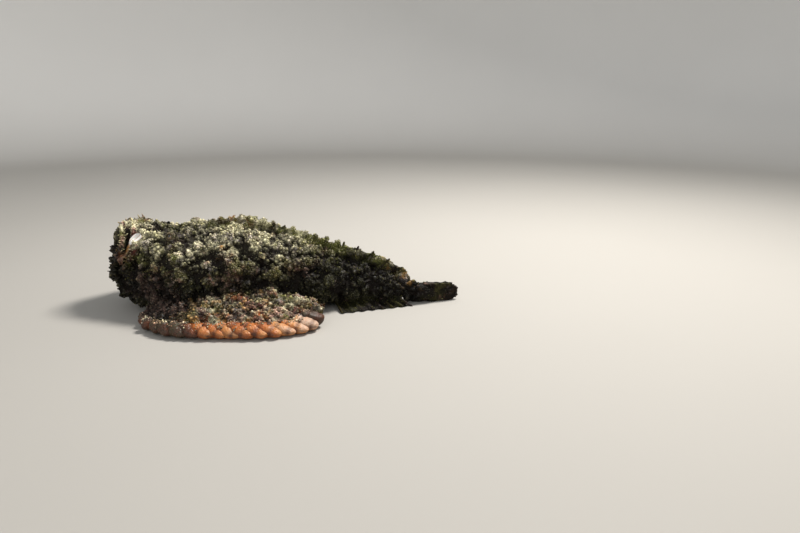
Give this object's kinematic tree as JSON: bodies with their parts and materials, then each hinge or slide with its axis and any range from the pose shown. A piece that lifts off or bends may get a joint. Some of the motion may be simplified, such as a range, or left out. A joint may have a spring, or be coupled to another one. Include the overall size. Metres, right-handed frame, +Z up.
{
  "type": "reef stonefish",
  "caption": "Life-size reef stonefish lying on its belly: broad warty head, upturned mouth, small raised eyes, spread pectoral fins and a short tail fin.",
  "frame": {"origin": "under the middle of the whole fish, on the floor that its belly rests on", "axes": "head towards -X, tail towards +X, the fish's left side towards -Y, +Z up"},
  "size_m": [0.3236, 0.196, 0.0836],
  "materials": {
    "warty_skin": "damp warty scaleless skin, mottled olive, brown and cream",
    "fin_skin": "thick warty fin skin, brown with an orange rim",
    "eye": "wet dark eye",
    "mouth_skin": "smooth wet pale skin"
  },
  "bodies": {
    "root": {"lower_jaw": "warty_skin", "head": "warty_skin", "trunk": "warty_skin", "tail_stalk": "warty_skin", "dorsal_fin_spiny": "warty_skin", "dorsal_fin_soft": "warty_skin", "anal_fin": "fin_skin", "caudal_fin": "fin_skin", "pectoral_fin_left": "fin_skin", "pectoral_fin_right": "fin_skin", "pelvic_fin_left": "fin_skin", "pelvic_fin_right": "fin_skin", "eye_left": "eye", "eye_right": "eye", "mouth_membrane_left": "mouth_skin", "mouth_membrane_right": "mouth_skin"}
  },
  "joints": []
}
